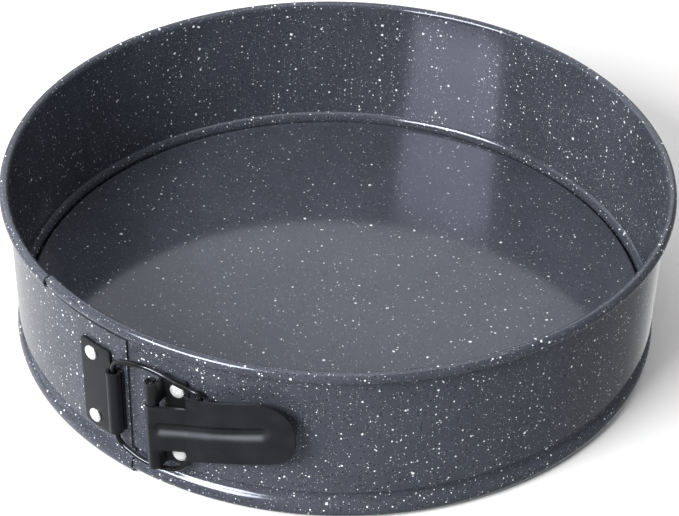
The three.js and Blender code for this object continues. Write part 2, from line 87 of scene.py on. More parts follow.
def polar(angle, radius, z=0.0):
    turn = math.radians(angle)
    return Vector((AXIS.x + radius * math.sin(turn), AXIS.y - radius * math.cos(turn), z))


def length_property(name, description, default):
    return FloatProperty(name=name, description=description, default=default, min=0, unit="LENGTH",
                         precision=5)


def colour_property(name, description, default):
    return FloatVectorProperty(name=name, description=description, default=default, size=3,
                               subtype="COLOR", min=0, max=1)


class PanBandSizes(bpy.types.PropertyGroup):
    """Sizes of the band and its base plate"""
    inside_radius: length_property("Inside radius", "Inner face of the wall", PLATE_RADIUS + 2.2 * MM)
    height: length_property("Height", "Top of the rim above the table", BAND_HIGH.z)
    sheet: length_property("Sheet", "Thickness of the band", 0.7 * MM)
    rim_width: length_property("Rim width", "Width of the rolled rim", 4 * MM)
    rim_height: length_property("Rim height", "Height of the rolled rim", 4.8 * MM)
    bead_depth: length_property("Bead depth", "How far the bead stands into the pan", 1.8 * MM)
    bead_z: length_property("Bead height", "Height of the bead's crest", PLATE_HIGH.z + 0.2 * MM)
    bead_rise: length_property("Bead rise", "From the bead's crest up to the wall", 3.1 * MM)
    foot_bulge: length_property("Foot bulge", "How far the foot stands out past the wall", 1.1 * MM)
    foot_flat: length_property("Foot flat", "Width of the ring the pan stands on", 1.2 * MM)
    hem_radius: length_property("Hem radius", "Radius of the roll inside the foot", 2.3 * MM)
    layer_pitch: length_property("Layer pitch", "Sheet plus the gap between the lapped ends", 1 * MM)
    outer_top: length_property("Outer layer top", "Gap from the rim's top to the outer layer", 7.2 * MM)
    plate_sheet: length_property("Plate sheet", "Thickness of the base plate", 0.8 * MM)
    plate_edge: length_property("Plate edge", "Radius of the plate's rounded edge", 1.8 * MM)


class PanLatchSizes(bpy.types.PropertyGroup):
    """Sizes of the latch"""
    fitting_sheet: length_property("Fitting sheet", "Thickness of the two riveted plates", 1 * MM)
    fitting_height: length_property("Fitting height", "Height of the two riveted plates", 40 * MM)
    barrel_height: length_property("Barrel height", "Height of the rolled catch", 28 * MM)
    lever_sheet: length_property("Lever sheet", "Thickness of the lever", 1.2 * MM)
    lever_height: length_property("Lever height", "Height of the lever's arm", 28 * MM)
    neck_height: length_property("Neck height", "Height of the lever's rolled neck", 20 * MM)
    groove_depth: length_property("Groove depth", "Depth of the stamped groove", 1.6 * MM)
    groove_width: length_property("Groove width", "Width of the stamped groove", 8.5 * MM)
    wire_radius: length_property("Wire radius", "Half the bail's thickness", 1 * MM)
    pin_radius: length_property("Pin radius", "Half the hinge pin's thickness", 1.1 * MM)
    rivet_radius: length_property("Rivet radius", "Half the width of a rivet's head", 2.9 * MM)
    rivet_height: length_property("Rivet height", "Height of a rivet's domed head", 1.3 * MM)
    rivet_spacing: length_property("Rivet spacing", "Between a plate's two rivets", 30 * MM)


class PanColours(bpy.types.PropertyGroup):
    """Colours of the pan's finishes"""
    coating: colour_property("Coating", "Ground colour of the speckled coating", (0.036, 0.0395, 0.0505))
    fleck: colour_property("Flecks", "Light flecks in the coating", (0.68, 0.7, 0.73))
    dark_fleck: colour_property("Dark flecks", "Dark flecks in the coating", (0.004, 0.004, 0.005))
    latch: colour_property("Latch", "Satin enamel of the latch", (0.0055, 0.0056, 0.0064))
    wire: colour_property("Wire", "Gloss black of the bail", (0.004, 0.004, 0.0045))
    rivet: colour_property("Rivets", "Bright metal of the rivets", (0.86, 0.86, 0.87))
    floor: colour_property("Floor", "The table under the pan", (0.74, 0.74, 0.74))


# Lines and sheets


def arc(x, y, half_width, half_height, start, end, steps):
    """Points on an arc of an ellipse, angles anticlockwise in degrees."""
    turns = [math.radians(start + (end - start) * i / steps) for i in range(steps + 1)]
    return [Vector((x + half_width * math.cos(t), y + half_height * math.sin(t))) for t in turns]


def sheet_outline(line, right, left):
    """The closed outline of a bent sheet whose faces lie right and left of a centre line."""
    sides = {right: [], left: []}
    last = len(line) - 1
    for i, point in enumerate(line):
        before = (point - line[max(i - 1, 0)]) if i else line[1] - line[0]
        after = (line[i + 1] - point) if i < last else before.copy()
        before.normalize()
        after.normalize()
        mean = (before + after).normalized()
        normal = Vector((-mean.y, mean.x)) / mean.dot(after)
        for distance, side in sides.items():
            side.append(point + normal * distance)
    return sides[left] + sides[right][::-1]


def new_object(name, mesh_maker, sharp=30):
    """Makes a mesh object from a finished bmesh, shaded smooth with sharp creases kept."""
    mesh = bpy.data.meshes.new(name)
    mesh_maker.to_mesh(mesh)
    mesh_maker.free()
    mesh.shade_smooth()
    mesh.set_sharp_from_angle(angle=math.radians(sharp))
    piece = bpy.data.objects.new(name, mesh)
    bpy.context.scene.collection.objects.link(piece)
    return piece


def finish_piece(piece, material, nodes, body=None):
    piece.data.materials.append(material)
    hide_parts(*nodes)
    if body:
        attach(piece, body)
    return piece


def spin_outline(maker, outline, start, end, steps, layer=None):
    """Turns a closed outline of radius and height round the pan's axis into a solid arc."""
    verts = [maker.verts.new(polar(start, point.x, point.y)) for point in outline]
    if layer:
        for i, vert in enumerate(verts):
            vert[layer] = i
    face = maker.faces.new(verts)
    geometry = [face, *face.edges, *face.verts]
    bmesh.ops.spin(maker, geom=geometry, cent=AXIS, axis=(0, 0, 1), dvec=(0, 0, 0),
                   angle=math.radians(end - start), steps=steps, use_duplicate=False)


def turned(maker, profile, centre, direction, steps):
    """Turns an open profile of radius and height round a line; its ends lie on the line."""
    along = direction.normalized()
    across = along.orthogonal().normalized()
    verts = [maker.verts.new(centre + across * point.x + along * point.y) for point in profile]
    edges = [maker.edges.new(pair) for pair in zip(verts, verts[1:])]
    bmesh.ops.spin(maker, geom=verts + edges, cent=centre, axis=along, dvec=(0, 0, 0),
                   angle=math.tau, steps=steps, use_merge=True, use_duplicate=False)
    bmesh.ops.remove_doubles(maker, verts=maker.verts, dist=1e-7)
    bmesh.ops.recalc_face_normals(maker, faces=maker.faces)


def along_line(line):
    """Distances of a line's points from its start."""
    distances = [0.0]
    for a, b in zip(line, line[1:]):
        distances.append(distances[-1] + (b - a).length)
    return distances


def point_at(line, distances, s):
    """Point and left-hand normal of a plan line at a distance along it."""
    s = min(max(s, 0.0), distances[-1])
    i = next((k for k in range(1, len(line)) if distances[k] >= s), len(line) - 1)
    a, b = line[i - 1], line[i]
    share = (s - distances[i - 1]) / max(distances[i] - distances[i - 1], 1e-12)
    tangent = (b - a).normalized()
    return a.lerp(b, share), Vector((-tangent.y, tangent.x))


def bent_sheet(name, line, stations, rows, edges, thickness, relief=None, cut=None, bevel=0.25 * MM):
    """A sheet bent along a plan line. edges(s) gives its lower and upper edge at distance s, rows are
    shares of the height between them, relief(s, z) pushes it sideways and cut(s, z) opens windows."""
    distances = along_line(line)
    maker = bmesh.new()
    columns = len(stations)
    bmesh.ops.create_grid(maker, x_segments=columns - 1, y_segments=len(rows) - 1, size=1)
    maker.verts.ensure_lookup_table()
    flat = {}
    for vert in maker.verts:
        i = round((vert.co.x + 1) / 2 * (columns - 1))
        j = round((vert.co.y + 1) / 2 * (len(rows) - 1))
        low, high = edges(stations[i])
        flat[vert] = (stations[i], low + (high - low) * rows[j])
    if cut:
        gone = []
        for face in maker.faces:
            s = sum(flat[v][0] for v in face.verts) / 4
            z = sum(flat[v][1] for v in face.verts) / 4
            if cut(s, z):
                gone.append(face)
        bmesh.ops.delete(maker, geom=gone, context="FACES")
    for vert in maker.verts:
        s, z = flat[vert]
        point, normal = point_at(line, distances, s)
        shift = relief(s, z) if relief else 0.0
        point = point + normal * shift
        vert.co = (point.x, point.y, LATCH_Z + z)
    bmesh.ops.recalc_face_normals(maker, faces=maker.faces)
    piece = new_object(name, maker, sharp=50)
    wall = piece.modifiers.new("Sheet", "SOLIDIFY")
    wall.thickness = thickness
    wall.offset = 0
    wall.use_even_offset = True
    edge = piece.modifiers.new("Edge", "BEVEL")
    edge.width = bevel
    edge.segments = 3
    edge.limit_method = "ANGLE"
    edge.angle_limit = math.radians(50)
    edge.harden_normals = False
    return piece


# Materials


class Nodes:
    """Short names for wiring a material's nodes."""

    def __init__(self, name):
        self.material = bpy.data.materials.new(name)
        self.material.use_nodes = True
        self.tree = self.material.node_tree
        self.shader = self.tree.nodes["Principled BSDF"]
        self.place = self.tree.nodes.new("ShaderNodeTexCoord").outputs["Object"]

    def node(self, kind, inputs=(), **settings):
        made = self.tree.nodes.new(kind)
        for key, value in settings.items():
            setattr(made, key, value)
        for key, value in dict(inputs).items():
            if isinstance(value, bpy.types.NodeSocket):
                self.tree.links.new(value, made.inputs[key])
            else:
                made.inputs[key].default_value = value
        return made

    def math(self, operation, first, second=0.0, third=0.0):
        return self.node("ShaderNodeMath", {0: first, 1: second, 2: third}, operation=operation).outputs[0]

    def noise(self, scale, detail=2.0, place=None):
        made = self.node("ShaderNodeTexNoise", {"Vector": place or self.place, "Scale": scale,
                                                "Detail": detail})
        return made.outputs["Fac"]

    def ramp(self, value, low, high, to_low=0.0, to_high=1.0):
        inputs = {"Value": value, "From Min": low, "From Max": high, "To Min": to_low, "To Max": to_high}
        return self.node("ShaderNodeMapRange", inputs, interpolation_type="SMOOTHSTEP").outputs["Result"]

    def mix(self, share, first, second):
        made = self.node("ShaderNodeMix", data_type="RGBA")
        for socket, value in zip((made.inputs[0], made.inputs[6], made.inputs[7]), (share, first, second)):
            if isinstance(value, bpy.types.NodeSocket):
                self.tree.links.new(value, socket)
            else:
                socket.default_value = value
        return made.outputs[2]

    def link(self, name, value):
        self.tree.links.new(value, self.shader.inputs[name])

    def bump(self, height, distance, strength=1.0, normal=None):
        inputs = {"Height": height, "Distance": distance, "Strength": strength}
        if normal:
            inputs["Normal"] = normal
        return self.node("ShaderNodeBump", inputs).outputs["Normal"]


def flecks(nodes, place, scale, radius, shown, seed):
    """Round flecks of many sizes: balls at random places, cut by the surface."""
    moved = nodes.node("ShaderNodeVectorMath", {0: place, 1: (seed, seed * 1.7, seed * 0.6)},
                       operation="ADD").outputs[0]
    cells = nodes.node("ShaderNodeTexVoronoi", {"Vector": moved, "Scale": scale, "Randomness": 1.0})
    colour = nodes.node("ShaderNodeSeparateColor", {0: cells.outputs["Color"]})
    size = nodes.math("MULTIPLY_ADD", colour.outputs[0], radius * 0.75, radius * 0.25)
    inside = nodes.math("SUBTRACT", size, cells.outputs["Distance"])
    disc = nodes.ramp(inside, 0.0, radius * 0.22)
    kept = nodes.math("LESS_THAN", colour.outputs[1], shown)
    return nodes.math("MULTIPLY", disc, kept)


def coating_material(name, colours, density=1.0, roughness=0.14, brightness=1.0):
    nodes = Nodes(name)
    shader = nodes.shader
    wobble = nodes.node("ShaderNodeTexNoise", {"Vector": nodes.place, "Scale": 900.0, "Detail": 2.0})
    shift = nodes.node("ShaderNodeVectorMath", {0: wobble.outputs["Color"], 1: (0.0005,) * 3},
                       operation="MULTIPLY").outputs[0]
    place = nodes.node("ShaderNodeVectorMath", {0: nodes.place, 1: shift}, operation="ADD").outputs[0]
    dust = flecks(nodes, place, 1350.0, 0.25, 0.7 * density, 0.11)
    small = flecks(nodes, place, 640.0, 0.25, 0.42 * density, 0.37)
    medium = flecks(nodes, place, 370.0, 0.22, 0.28 * density, 0.73)
    large = flecks(nodes, place, 215.0, 0.17, 0.27 * density, 0.53)
    light = nodes.math("MAXIMUM", nodes.math("MAXIMUM", small, medium), large)
    light = nodes.math("MAXIMUM", light, nodes.math("MULTIPLY", dust, 0.6))
    dark = flecks(nodes, place, 900.0, 0.33, 0.9 * density, 0.91)
    cloud = nodes.noise(45.0, 3.0)
    grain = nodes.noise(2600.0, 2.0)
    ground = nodes.mix(nodes.ramp(cloud, 0.3, 0.7), (*[c * 0.9 for c in colours.coating], 1),
                       (*[min(1, c * 1.1) for c in colours.coating], 1))
    ground = nodes.mix(nodes.ramp(grain, 0.35, 0.7, 0.0, 0.35), ground,
                       (*[c * 1.6 for c in colours.coating], 1))
    ground = nodes.mix(nodes.math("MULTIPLY", dark, 0.85), ground, (*colours.dark_fleck, 1))
    fleck = (*[c * brightness for c in colours.fleck], 1)
    nodes.link("Base Color", nodes.mix(light, ground, fleck))
    rough = nodes.ramp(grain, 0.3, 0.7, roughness - 0.03, roughness + 0.04)
    nodes.link("Roughness", nodes.math("MULTIPLY_ADD", light, 0.12, rough))
    skin = nodes.bump(nodes.noise(900.0, 2.0), 0.00001, 0.4)
    nodes.link("Normal", nodes.bump(light, 0.00003, 0.35, skin))
    shader.inputs["Metallic"].default_value = 0.0
    shader.inputs["IOR"].default_value = 1.5
    shader.inputs["Specular Tint"].default_value = (0.8, 0.86, 1.0, 1.0)
    return nodes.material


def enamel_material(name, colour, roughness, speck=0.5):
    """Sprayed or dipped black enamel on steel, with a fine grain and a few dull marks."""
    nodes = Nodes(name)
    shader = nodes.shader
    grain = nodes.noise(2200.0, 3.0)
    cloud = nodes.noise(120.0, 3.0)
    base = nodes.mix(nodes.ramp(cloud, 0.3, 0.75), (*colour, 1), (*[c * 1.35 for c in colour], 1))
    nodes.link("Base Color", nodes.mix(nodes.ramp(grain, 0.55, 0.8, 0.0, speck), base,
                                       (*[min(1, c * 2.2 + 0.002) for c in colour], 1)))
    nodes.link("Roughness", nodes.ramp(cloud, 0.3, 0.7, roughness - 0.05, roughness + 0.06))
    nodes.link("Normal", nodes.bump(grain, 0.00002, 0.35))
    shader.inputs["IOR"].default_value = 1.5
    shader.inputs["Specular Tint"].default_value = (0.84, 0.9, 1.0, 1.0)
    return nodes.material


def bright_metal_material(name, colour):
    """Bright aluminium with fine scratches and small dents."""
    nodes = Nodes(name)
    shader = nodes.shader
    stretched = nodes.node("ShaderNodeMapping", {"Vector": nodes.place, "Scale": (1.0, 1.0, 0.08),
                                                 "Rotation": (0.3, 0.5, 0.0)}).outputs[0]
    scratch = nodes.noise(9000.0, 2.0, stretched)
    dents = nodes.noise(900.0, 2.0)
    nodes.link("Base Color", nodes.mix(nodes.ramp(scratch, 0.3, 0.7), (*[c * 0.82 for c in colour], 1),
                                       (*colour, 1)))
    nodes.link("Roughness", nodes.ramp(scratch, 0.35, 0.7, 0.2, 0.36))
    nodes.link("Normal", nodes.bump(dents, 0.00006, 0.4))
    shader.inputs["Metallic"].default_value = 0.6
    return nodes.material


def shared_material(name, make):
    return bpy.data.materials.get(name) or make()


def coating():
    colours = bpy.context.scene.pan_colours
    return shared_material("speckled_coating", lambda: coating_material("speckled_coating", colours))


def latch_enamel():
    colour = bpy.context.scene.pan_colours.latch
    return shared_material("latch_enamel", lambda: enamel_material("latch_enamel", colour, 0.4, 0.3))


def wire_enamel():
    colour = bpy.context.scene.pan_colours.wire
    return shared_material("wire_enamel", lambda: enamel_material("wire_enamel", colour, 0.17, 0.2))


def rivet_metal():
    colour = bpy.context.scene.pan_colours.rivet
    return shared_material("rivet_metal", lambda: bright_metal_material("rivet_metal", colour))


# Band

RIM_STEP = -27.8
SEAM = -9.6
SPREAD_START = -85.0
RIM_END_TURN = -110.0
HEM_END_TURN = -245.0
FOOT_END_TURN = -48.0
FOOT_FADE = 0.8
BAND_STEPS = 153
LAP_STEPS = 20
RIM_STEP_GAP = 0.5 * MM


def rim_line(sizes):
    half_width = (sizes.rim_width - sizes.sheet) / 2
    half_height = (sizes.rim_height - sizes.sheet) / 2
    middle = sizes.inside_radius + sizes.sheet / 2
    return arc(middle + half_width, sizes.height - sizes.rim_height / 2, half_width, half_height,
               RIM_END_TURN, 180, 26)


def bead_line(sizes):
    """The bead and the foot are two arcs that meet on a common tangent."""
    middle = sizes.inside_radius + sizes.sheet / 2
    bead = (sizes.bead_depth ** 2 + sizes.bead_rise ** 2) / (2 * sizes.bead_depth)
    bead_centre = middle - sizes.bead_depth + bead
    side = bead_centre - middle - sizes.foot_bulge
    drop = sizes.bead_z - sizes.sheet / 2
    half = drop + bead - side
    foot = half - math.sqrt(half ** 2 - (drop ** 2 + side ** 2 - bead ** 2))
    foot_centre = bead_centre - side - foot
    foot_z = foot + sizes.sheet / 2
    crease = math.degrees(math.atan2(sizes.bead_rise, sizes.bead_depth - bead))
    meet = math.degrees(math.atan2(sizes.bead_z - foot_z, bead_centre - foot_centre))
    upper = arc(bead_centre, sizes.bead_z, bead, bead, crease, 180 + meet, 14)
    lower = arc(foot_centre, foot_z, foot, foot, meet, FOOT_END_TURN, 12)[1:]
    under = arc(foot_centre, foot_z, foot, foot, FOOT_END_TURN, -90, 6)[1:]
    hem = arc(foot_centre - sizes.foot_flat, sizes.sheet / 2 + sizes.hem_radius, sizes.hem_radius,
              sizes.hem_radius, -90, HEM_END_TURN, 12)
    return upper, lower, under, hem


def shift_line(line, distance, fade=None):
    """Moves each point of a line to its outer side; fade gives each point's share."""
    moved = []
    for i, point in enumerate(line):
        step = line[min(i + 1, len(line) - 1)] - line[max(i - 1, 0)]
        normal = Vector((-step.y, step.x)).normalized()
        moved.append(point + normal * distance * (fade[i] if fade else 1))
    return moved


def band_lines(sizes):
    """Centre line of the band's section, and the same line where it laps over the other end."""
    rim = rim_line(sizes)
    upper, lower, under, hem = bead_line(sizes)
    out = Vector((sizes.layer_pitch, 0))
    plain = rim + upper + lower + under + hem
    foot_top = max(point.y for point in lower[-1:] + under) - sizes.sheet / 2
    centre_z = sizes.sheet / 2 + foot_top / (1 - math.sin(math.radians(-FOOT_END_TURN)))
    fade = []
    for point in under:
        slope = (centre_z - point.y) / (centre_z - sizes.sheet / 2)
        fade.append(min(1.0, FOOT_FADE * centre_z * (1 / slope - 1) / sizes.layer_pitch))
    curve = shift_line(upper + lower + under, sizes.layer_pitch,
                       [1] * len(upper + lower) + fade)
    curve[0] = upper[0] + out
    spread = [point + out for point in rim] + curve + hem
    lap = [rim[-1].copy()] + upper + lower
    lap[0].y = sizes.height - sizes.outer_top
    return plain, spread, lap


def smooth(value, low, high):
    t = min(max((value - low) / (high - low), 0.0), 1.0)
    return t * t * (3 - 2 * t)


def hinge_blend(piece):
    """Bakes a half of the band's object transform into its mesh."""
    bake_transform(piece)


class PAN_OT_band(bpy.types.Operator):
    """Build the two lapped halves of the rolled band"""
    bl_idname = "pan.band"
    bl_label = "Band"

    def execute(self, context):
        sizes = context.scene.pan_band
        half = sizes.sheet / 2
        plain, spread, lap = band_lines(sizes)
        narrow = sheet_outline(plain, -half, half)
        wide = sheet_outline(spread, -half, half)

        maker = bmesh.new()
        layer = maker.verts.layers.int.new("ring")
        spin_outline(maker, narrow, -180, RIM_STEP, BAND_STEPS, layer)
        for vert in maker.verts:
            angle = angle_of(vert.co)
            if angle > 179:
                angle -= 360
            share = smooth(angle, SPREAD_START, RIM_STEP - 2)
            point = narrow[vert[layer]].lerp(wide[vert[layer]], share)
            vert.co = polar(angle, point.x, point.y)
        pitch = sizes.layer_pitch
        spin_outline(maker, sheet_outline(lap, pitch - half, pitch + half), RIM_STEP, SEAM, LAP_STEPS)
        bmesh.ops.recalc_face_normals(maker, faces=maker.faces)
        left = new_object("band_left", maker)
        finish_piece(left, coating(), ["band_catch_side", "band_back"])
        hinge_blend(left)

        maker = bmesh.new()
        gap = math.degrees(RIM_STEP_GAP / sizes.inside_radius)
        spin_outline(maker, narrow, RIM_STEP + gap, 180, 208)
        bmesh.ops.recalc_face_normals(maker, faces=maker.faces)
        right = new_object("band_right", maker)
        finish_piece(right, coating(), ["band_lever_side"])
        hinge_blend(right)
        return {"FINISHED"}


class PAN_OT_base_plate(bpy.types.Operator):
    """Build the loose base plate with its rounded edge"""
    bl_idname = "pan.base_plate"
    bl_label = "Base plate"

    def execute(self, context):
        sizes = context.scene.pan_band
        top = PLATE_HIGH.z
        edge = sizes.plate_edge
        inner = edge - sizes.plate_sheet
        centre = PLATE_RADIUS - edge
        rings = [centre * share for share in (0.25, 0.5, 0.75, 0.9)]
        under = [Vector((0, top - sizes.plate_sheet))]
        under += [Vector((ring, top - sizes.plate_sheet)) for ring in rings]
        over = [Vector((ring, top)) for ring in reversed(rings)] + [Vector((0, top))]
        profile = [
            *under,
            *arc(centre, top - edge, inner, inner, 90, 0, 8),
            Vector((PLATE_RADIUS - sizes.plate_sheet, PLATE_LOW.z)),
            Vector((PLATE_RADIUS, PLATE_LOW.z)),
            *arc(centre, top - edge, edge, edge, 0, 90, 12),
            *over,
        ]
        maker = bmesh.new()
        turned(maker, profile, Vector((AXIS.x, AXIS.y, 0)), Vector((0, 0, 1)), 240)
        plate = new_object("base_plate_shell", maker, 50)
        colours = context.scene.pan_colours
        finish = coating_material("plate_coating", colours, 0.55, 0.1, 0.75)
        finish_piece(plate, finish, ["base_plate"], "base")
        return {"FINISHED"}


# Latch

CATCH_PLATE_START = -19.4
CATCH_RIVETS = -16.9
# Where the dark strip of painted shade beside the catch barrel ends.
SHADE_STRIP_END = -10.25
BARREL_SETBACK = 3.1 * MM
BRACKET_END = 1.79
BRACKET_RIVETS = 0.0
BRACKET_BEND = 1.6 * MM
KNUCKLE_START = 2.2 * MM
CORNER = 1.6 * MM
ROLL_STEP = 11
ROLL_STEPS = 28
SHOULDER = 2.3
TIP = 19.4
TIP_LIFT = 0.8 * MM
NECK_TILT = 6.0
ARM_TILT = 13.5
LEVER_STANDOFF = 4.4 * MM
GROOVE_START = 3 * MM
GROOVE_END = 12.5 * MM
EAR_SHEET = 1 * MM
EAR_RIB = 1.2 * MM
EAR_TURN = 1.3 * MM
EAR_LEFT = 4.4 * MM
EAR_RIGHT = 2.1 * MM
HOOK = 4.3
HOOK_STANDOFF = 2.9 * MM
HOOK_LENGTH = 3.6 * MM
WIRE_CLEARANCE = 0.4 * MM
BAIL_SPREAD = 22.9 * MM
BAIL_BEND = 1.6 * MM
BAIL_LIFT = 0.6 * MM
BAIL_ARM = (0.1, -8.6)
BAIL_CREST = -4.7
BAIL_FALL = 0.11 * MM
SHANK_RADIUS = 1.5 * MM
TAIL_HEIGHT = 1 * MM
TAIL_GAP = 0.1 * MM
HEAD_GAP = 0.05 * MM
HEAD_EDGE = 0.3 * MM


def rounded(value, low, high, radius_low, radius_high, reach):
    """Lower and upper edge of an outline near its end, with rounded corners."""
    edges = []
    for side, radius in ((low, radius_low), (high, radius_high)):
        inset = max(0.0, radius - (reach - value))
        drop = radius - math.sqrt(max(radius ** 2 - min(inset, radius) ** 2, 0.0))
        edges.append(side + drop if side == low else side - drop)
    return edges


def spaced(start, end, count):
    return [start + (end - start) * i / (count - 1) for i in range(count)]


def ending(start, end, count):
    """Distances that crowd towards the end, for a rounded corner."""
    return [start + (end - start) * math.sin(math.pi / 2 * i / (count - 1)) for i in range(count)]


class PAN_OT_catch_plate(bpy.types.Operator):
    """Build the catch plate and its rolled barrel"""
    bl_idname = "pan.catch_plate"
    bl_label = "Catch plate"

    def execute(self, context):
        sizes = context.scene.pan_latch
        band = context.scene.pan_band
        thick = sizes.fitting_sheet
        radius = wall_radius() + band.layer_pitch + GAP + thick / 2
        centre_angle = angle_of(CATCH)
        roll = radius_of(CATCH) - radius
        start, end = CATCH_PLATE_START, centre_angle
        flat = [polar(start + (end - start) * i / 16, radius).xy for i in range(17)]
        side = math.radians(centre_angle)
        rolled = []
        for i in range(1, ROLL_STEPS + 1):
            turn = math.radians(i * ROLL_STEP)
            out = -roll * math.cos(turn)
            along = roll * math.sin(turn)
            rolled.append(Vector((
                CATCH.x + out * math.sin(side) + along * math.cos(side),
                CATCH.y - out * math.cos(side) + along * math.sin(side),
            )))
        line = flat + rolled
        total = along_line(line)[-1]
        step = along_line(flat)[-1] - BARREL_SETBACK
        full, short = sizes.fitting_height / 2, sizes.barrel_height / 2

        def edges(s):
            if s > step:
                return -short, short
            low, high = rounded(s, -full, full, CORNER, CORNER, step)
            back = rounded(-s, -full, full, CORNER, CORNER, 0.0)
            return max(low, back[0]), min(high, back[1])

        stations = ending(step / 2, step, 12)
        stations = [step - s for s in reversed(stations)][:-1] + stations
        stations += [step + 0.02 * MM] + spaced(step + 0.4 * MM, total, 56)
        plate = bent_sheet("catch_plate_sheet", line, stations, spaced(0, 1, 9), edges, thick)
        finish_piece(plate, latch_enamel(), ["catch_plate"], "catch_band")
        # A dark enamel strip beside the barrel: painted shade for the shadowed gap up to the seam.
        self.shade_strip(radius - 0.1 * MM, centre_angle, short, thick)
        return {"FINISHED"}

    def shade_strip(self, radius, start, half, thick):
        """A dark enamel strip between the barrel and the band's seam: painted shade that stands in for the
        shadowed gap there.
        """
        line = [polar(start + (SHADE_STRIP_END - start) * i / 8, radius).xy for i in range(9)]
        length = along_line(line)[-1]
        shade_strip = bent_sheet("catch_painted_shade_strip", line, spaced(0, length, 9), spaced(0, 1, 9),
                         lambda s: (-half, half), thick)
        shade_strip.data.materials.append(latch_enamel())
        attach(shade_strip, "catch_band")


class PAN_OT_bracket(bpy.types.Operator):
    """Build the lever's bracket with its two rolled knuckles"""
    bl_idname = "pan.bracket"
    bl_label = "Lever bracket"

    def execute(self, context):
        sizes = context.scene.pan_latch
        thick = sizes.fitting_sheet
        radius = wall_radius() + GAP + thick / 2
        knuckle = sizes.pin_radius + GAP + thick / 2
        pivot_radius = radius_of(PIVOT)
        riser = angle_of(PIVOT) + math.degrees(knuckle / pivot_radius)
        line = [polar(BRACKET_END + (riser - BRACKET_END) * i / 14, radius).xy for i in range(12)]
        corner = polar(riser, radius)
        turn = math.radians(riser)
        outward = Vector((math.sin(turn), -math.cos(turn)))
        across = Vector((math.cos(turn), math.sin(turn)))
        base = corner.xy
        for i in range(9):
            t = math.pi / 2 * i / 8
            rise = across * (1 - math.sin(t)) + outward * (1 - math.cos(t))
            line.append(base + rise * BRACKET_BEND)
        centre = PIVOT.xy
        for i in range(ROLL_STEPS):
            t = math.radians(i * ROLL_STEP)
            line.append(centre + across * knuckle * math.cos(t) + outward * knuckle * math.sin(t))
        distances = along_line(line)
        roll_start = distances[20] - KNUCKLE_START
        full = sizes.fitting_height / 2
        mouth = sizes.neck_height / 2 + GAP

        def edges(s):
            return rounded(-s, -full, full, CORNER, CORNER, 0.0)

        share = mouth / full / 2
        rows = spaced(0, 0.5 - share, 4) + spaced(0.5 - share, 0.5 + share, 5)[1:-1]
        rows += spaced(0.5 + share, 1, 4)
        stations = ending(0, 2 * MM, 8)
        stations = [2 * MM - s for s in reversed(stations)]
        stations += spaced(2.4 * MM, roll_start, 18) + spaced(roll_start + 0.3 * MM, distances[-1], 56)
        plate = bent_sheet("bracket_sheet", line, stations, rows, edges, thick,
                           cut=lambda s, z: s > roll_start and abs(z) < mouth)
        finish_piece(plate, latch_enamel(), ["lever_bracket"], "lever_band")
        return {"FINISHED"}


def wall_radius():
    band = bpy.context.scene.pan_band
    return band.inside_radius + band.sheet


def lever_radius():
    return wall_radius() + LEVER_STANDOFF + bpy.context.scene.pan_latch.lever_sheet / 2


def lever_rise(x):
    """The lever climbs towards its tip, gently along the neck and more along the arm."""
    sizes = bpy.context.scene.pan_latch
    start = PIVOT.x + sizes.pin_radius + 1.3 * MM
    shoulder = polar(SHOULDER, lever_radius()).x
    neck = min(max(x, start), shoulder) - start
    arm = max(x - shoulder, 0.0)
    return neck * math.tan(math.radians(NECK_TILT)) + arm * math.tan(math.radians(ARM_TILT))


